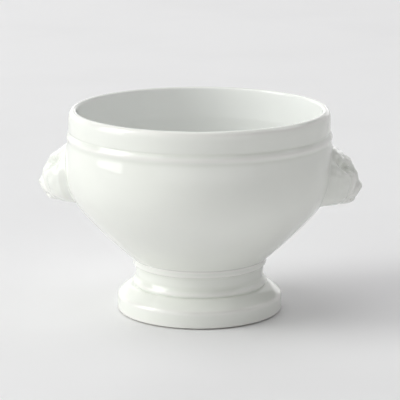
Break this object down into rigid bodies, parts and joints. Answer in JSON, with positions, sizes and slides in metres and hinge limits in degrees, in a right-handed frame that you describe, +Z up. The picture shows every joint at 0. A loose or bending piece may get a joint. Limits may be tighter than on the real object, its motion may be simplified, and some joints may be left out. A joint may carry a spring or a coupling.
{
  "type": "footed soup crock",
  "caption": "Round footed soup crock in glossy white porcelain, with a banded and beaded rim, a moulded pedestal and a lion's head lug on each side.",
  "frame": {"origin": "centre of the foot ring, on the table", "axes": "+Z up out of the bowl, +X through the nose of one lion's head and -X through the other, +Y across"},
  "size_m": [0.1502, 0.1248, 0.0948],
  "materials": {
    "bowl_glaze": "glossy clear glaze over white porcelain",
    "foot_glaze": "glossy clear glaze over white porcelain, with a bare matt ring to stand on",
    "head_glaze": "glossy glaze, pooled in the creases of the relief"
  },
  "bodies": {
    "root": {"bowl": "bowl_glaze", "pedestal_foot": "foot_glaze", "lion_head_left": "head_glaze", "lion_head_right": "head_glaze"}
  },
  "joints": []
}
